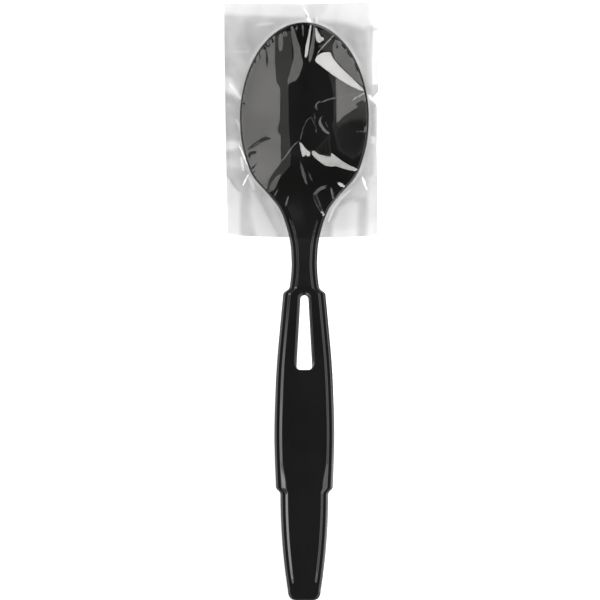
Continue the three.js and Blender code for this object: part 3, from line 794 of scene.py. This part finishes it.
# beside the bowl on the right: painted light and shade in the film's density, with a few creases
shadingPatch(0.5, [(338, 207), (352, 199), (357.5, 203), (356.8, 240), (331, 240), (331.5, 222), (336, 214)], 3.42)
shadingPatch(0.72, [(366.5, 177), (382, 174), (382, 240), (366, 240)], 3.42)
shadingPatch(0.95, [(340, 197), (352, 186), (358, 180), (366, 178), (366, 196), (356, 198)], 3.42)
shadingStreak(0.2, 2.6, [(350, 189), (340, 199), (333, 208), (327.5, 222)], 0.8)
shadingPatch(1, [(366, 26), (371, 26), (371, 84), (367.5, 84)], 3.04)
shadingPatch(0, [(372.3, 30.5), (382, 29), (382, 85.5), (371.6, 84.5), (371, 58)], 1.71)
shadingPatch(1, [(371, 86), (384, 85.5), (384, 96.5), (371, 96)], 2.28)
facet("white", 0.3, [(366.5, 93.5), (370, 95.5), (376, 101), (376, 104), (370.5, 100),
    (368, 98)], 1.71, place="out")
shadingPatch(1.75, [(369, 102), (374, 105), (374, 136), (370, 136)], 2.28)
shadingPatch(0.45, [(375, 102), (384, 100), (384, 136), (375.5, 136)], 1.71)
shadingPatch(0.75, [(370.5, 136), (384, 136), (384, 143), (371, 143)], 1.52)
shadingPatch(0.5, [(374, 143), (384, 143), (384, 176), (373, 176)], 2.85)
crease("white", 0.5, 2.6, [(361.3, 176.5), (366.3, 189.5)], 0.6, place="out")
# pinched folds at the tip; their streaks are painted light and shade
crease("white", 0.35, 1.6, [(303, 7), (307, 15), (310.5, 23)], 0.6, place="out")
crease("white", 0.5, 1.3, [(306.5, 18), (309, 23)], place="out")
shadingStreak(1.7, 1.2, [(305, 14), (308.3, 19.5), (309.5, 23.5)], 0.5)
shadingStreak(0.3, 1.5, [(315.8, 17), (316.8, 23)], 0.5)
shadingStreak(1.9, 1.2, [(313, 18), (314, 23.5)], 0.5)
# puckers along the rim; the patch beside it is painted shade
crease("dim", 0.8, 1, [(257, 163), (250.5, 168)])
shadingPatch(1.75, [(352, 66), (360, 72), (367, 86), (368, 96), (363, 90), (357, 78)], 2.28)
crease("grey", 1.3, 1.2, [(336, 97.5), (350, 94.5), (362, 92.8)], 0.5)
# short dark nicks
for width, points in (
    (2.6, [(335.5, 38.5), (339.5, 39.8), (342.3, 42.3)]),
    (2.4, [(341, 44), (343.3, 45.8), (345, 48.8)]),
    (2.4, [(346, 49.5), (348.7, 53), (351, 57.7)]),
    (2.2, [(354.2, 63), (355.8, 67), (357, 71.5)]),
    (1.6, [(336.3, 46), (337, 48.5)]),
    (1.8, [(263, 44), (264.3, 50)]),
    (1.8, [(271, 37), (272.6, 43)]),
    (1.6, [(243, 77), (245, 84)]),
    (1.6, [(254, 57), (255, 63)]),
    (1.6, [(264.5, 43.5), (268, 47.5)]),
    (1.6, [(369.5, 107), (366.5, 109)]),
    (1.6, [(242.5, 103), (244.5, 104)]),
):
    crease("dark", 0.6, width, points, 0.3)


def sleeveEdge(name, at):  # read off one of the sleeve's four edges
    return np.interp(at, *zip(*filmSize[name]))


def filmSag(edge, s):
    # pulled flat from rim to rim, a shallow power bowl inside it
    inward = np.clip(edge / sp["bowlHalf"], 0, 1)
    return filmSize["sag"] * (1 - (1 - inward) ** 2) * bowlShare(s)


def filmUpper(x, s, edge):
    # rim height plus a gap, less the sag inside it or the fall to the welded edge outside it
    level = rimHeight(np.maximum(s, 0)) + filmSize["clear"]
    return np.where(edge > 0, level - filmSag(edge, s), mix(level, edgeHeight(s), edgeShare(x, s, edge)))


def edgeHeight(s):
    # height of the welded edge: level, a bell over the bowl's middle and a rise to the mouth
    f = filmSize
    bell = f["crown"] * np.exp(-((s - f["crownAt"]) / f["crownReach"]) ** 2)
    return f["edgeHeight"] + bell + f["mouthRise"] * ease(s, f["mouthFrom"], f["mouthTo"])


def edgeShare(x, s, edge):
    # 0 at the rim and 1 at the welded edge: distance from the rim over its sum with that to the border
    sides = np.minimum(x - sleeveEdge("leftEdge", s), sleeveEdge("rightEdge", s) - x)
    border = np.minimum(sides, s - sleeveEdge("foldAt", x))
    out = np.maximum(-edge, 0)
    return np.where(edge > 0, 0, out / np.maximum(out + np.maximum(border - filmSize["weld"], 0), 1e-6))


def filmUnder(x, s, edge):
    # a gap under the spoon's underside inside the outline, never below the table, then up to the weld
    f = filmSize
    level = rimHeight(np.maximum(s, 0))
    low = level - depthBelowRim(np.maximum(edge, 0) + f["underOut"], np.maximum(s, 0)) - f["underGap"]
    return mix(np.maximum(f["tableGap"], low), edgeHeight(s) - f["weldGap"], edgeShare(x, s, edge))


def facetMask(x, s, width, soft, line):
    # 1 within half the width of a crease that thins to its ends, or inside a closed facet, where a line to
    # one side crosses its outline an odd number of times; soft at the edge
    if width:
        gap, share = lineDistance(x, s, line)
        half = width / 2 * mix(filmPaint["creaseEnd"], 1, np.sqrt(np.clip(4 * share * (1 - share), 0, 1)))
        return ease(half - gap, -soft, soft) * ((share > 0) & (share < 1))
    closed = np.concatenate([line, line[:1]])
    gap = lineDistance(x, s, closed)[0]
    odd = np.zeros(x.shape, bool)
    for (ax, ay), (bx, by) in zip(closed[:-1], closed[1:]):
        crosses = (ay > s) != (by > s)
        odd ^= crosses & (x < (bx - ax) * (s - ay) / (by - ay if by != ay else 1) + ax)
    return ease(np.where(odd, gap, -gap), -soft, soft)


def ripple(x, s):
    # soft uneven streaks: a sum of slow waves that bend each other, over the sum of their heights; the
    # numbers are heights, radians to a mm, and where each wave starts
    bent = x + 1.3 * np.sin(s * 0.21 + 0.7)
    streaks = np.sin(bent * 0.9 + 1.1 * np.sin(s * 0.33)) + 0.6 * np.sin(bent * 1.9 - s * 0.5 + 2.0)
    return (streaks + 0.5 * np.sin(s * 1.4 + 0.8 * np.sin(x * 0.7))) / 2.1


def paintFilm(x, s, edge):
    # slope across, slope along and density at each point, the density holding painted light and shade:
    # every facet's values mixed in by its mask, then the ripple on the density beside the bowl, and the
    # halo, a painted highlight, as an upper limit on it
    paint = filmPaint
    beside = edge < 0
    shape = np.zeros((3,) + x.shape)
    shape[0], shape[1] = paint["plain"]
    shape[2] = np.where(beside, paint["marginShade"], 1.0)
    for place, tilt, densityAndShade, width, soft, line in facets:
        low, high = line.min(0) - width - soft, line.max(0) + width + soft
        near = (x > low[0]) & (x < high[0]) & (s > low[1]) & (s < high[1])
        mask = facetMask(x[near], s[near], width, soft, line)
        if place == "in":
            mask = mask * ease(edge[near] - paint["rimLine"], -paint["rimSoft"], paint["rimSoft"])
        if place == "out":
            mask = mask * ease(-edge[near], -paint["outSoft"], paint["outSoft"])
        goal = (*paint[tilt], densityAndShade) if tilt else (None, None, densityAndShade)
        for part, value in zip(shape, goal):
            if value is not None:
                part[near] = mix(part[near], value, mask)
    wave = ripple(x, s)
    halo = ease(-edge, 0, paint["haloFrom"]) * (1 - ease(-edge, *paint["haloFade"]))
    halo = halo * mix(1, wave, paint["haloWave"])
    halo = halo * (1 - ease(s, *paint["haloTip"]) + paint["haloNeckShare"] * ease(s, *paint["haloNeck"]))
    shape[2] = np.where(beside, shape[2] * (1 + paint["ripple"] * wave), shape[2])
    shape[2] = mix(shape[2], np.minimum(shape[2], paint["halo"]), halo)
    return shape


def filmWeb(rows, height):
    # a grid of X, station and height between the sleeve's four edges, and its distance to the rim
    f = filmSize
    u, v = np.linspace(0, 1, f["columns"])[None, :], np.linspace(0, 1, rows)[:, None]
    s = mix(f["first"], f["last"], v) + 0 * u
    x = mix(sleeveEdge("leftEdge", s), sleeveEdge("rightEdge", s), u)
    s = mix(sleeveEdge("foldAt", x), sleeveEdge("mouthAt", x), v)
    edge = edgeDistance(x, s)
    return np.stack([x, s, height(x, s, edge)], -1), edge


def keepPaint(piece, across, along, densityAndShade):
    # the facets are tones, not shape: normals, and an attribute of the piece's first points with the
    # density that paints light and shade
    facing = np.zeros(len(piece.data.vertices) * 3)
    piece.data.vertex_normals.foreach_get("vector", facing)
    facing = facing.reshape(-1, 3)
    tilted = np.stack([across, along, np.ones_like(across)], -1).reshape(-1, 3)
    facing[:len(tilted)] = tilted / np.linalg.norm(tilted, axis=1, keepdims=True)
    piece.data.normals_split_custom_set_from_vertices(facing.tolist())
    densityAndShadeValues = np.ones(len(facing))
    densityAndShadeValues[:len(tilted)] = densityAndShade.ravel()
    piece.data.attributes.new("filmDensityAndShade", "FLOAT", "POINT").data.foreach_set("value", densityAndShadeValues)


def makeFilm(material):
    # two webs on one grid, joined by a half circle at the fold, with the paint on the upper one
    f = filmSize
    upper, edge = filmWeb(f["rows"], filmUpper)
    under, _ = filmWeb(f["rowsUnder"], filmUnder)
    turn = np.linspace(0, np.pi, f["rowsFold"] + 2)[1:-1, None]
    bend = (upper[0] + under[0]) / 2 + np.zeros((f["rowsFold"], 1, 3))
    bend[..., 1] -= f["turn"] * np.sin(turn)
    bend[..., 2] += (upper[0, :, 2] - under[0, :, 2]) / 2 * np.cos(turn)
    grid = np.concatenate([upper[::-1], bend, under])
    piece = meshPiece("film_sleeve", grid.reshape(-1, 3), gridFaces(len(grid), grid.shape[1]), material)
    keepPaint(piece, *paintFilm(upper[..., 0], upper[..., 1], edge)[:, ::-1])
    return piece


filmLook = dict(
    dark=(0.215, 0.212, 0.207), light=(0.231, 0.228, 0.223), grain=700.0, rough=(0.028, 0.042),
    alpha=0.3, cloud=0.03,  # how much it hides, and how unevenly
    turned=0.15, turnedBlend=0.5, turnedPower=4.0,  # hides more where it turns away
)


def clearFilm():
    # a thin clear film: alpha is the density, with its painted light and shade, times the plain alpha, plus
    # a share of facing to a power
    look = filmLook
    material, tree = newMaterial("clearFilm")
    gloss, inputs = addGloss(tree, look, look["rough"])
    facing = addNode(tree, "LayerWeight", {"Blend": look["turnedBlend"]}).outputs["Facing"]
    densityAndShade = addNode(tree, "Attribute", attribute_name="filmDensityAndShade").outputs["Fac"]
    cloud = mathNode(tree, "MULTIPLY_ADD", gloss["Tint"], look["cloud"], look["alpha"] - look["cloud"] / 2)
    away = mathNode(tree, "POWER", facing, look["turnedPower"])
    alpha = mathNode(tree, "MULTIPLY", densityAndShade, cloud)
    inputs["Alpha"] = mathNode(tree, "MULTIPLY_ADD", away, look["turned"], alpha, clamp=True)
    inputs["Metallic"] = 1.0
    shader = addNode(tree, "BsdfPrincipled", inputs)
    addNode(tree, "OutputMaterial", {"Surface": shader.outputs[0]})
    return material


film = makeFilm(clearFilm())
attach(film, "root")
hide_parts("film_wrap")
print("film made,", len(film.data.polygons), "faces")

print("done")
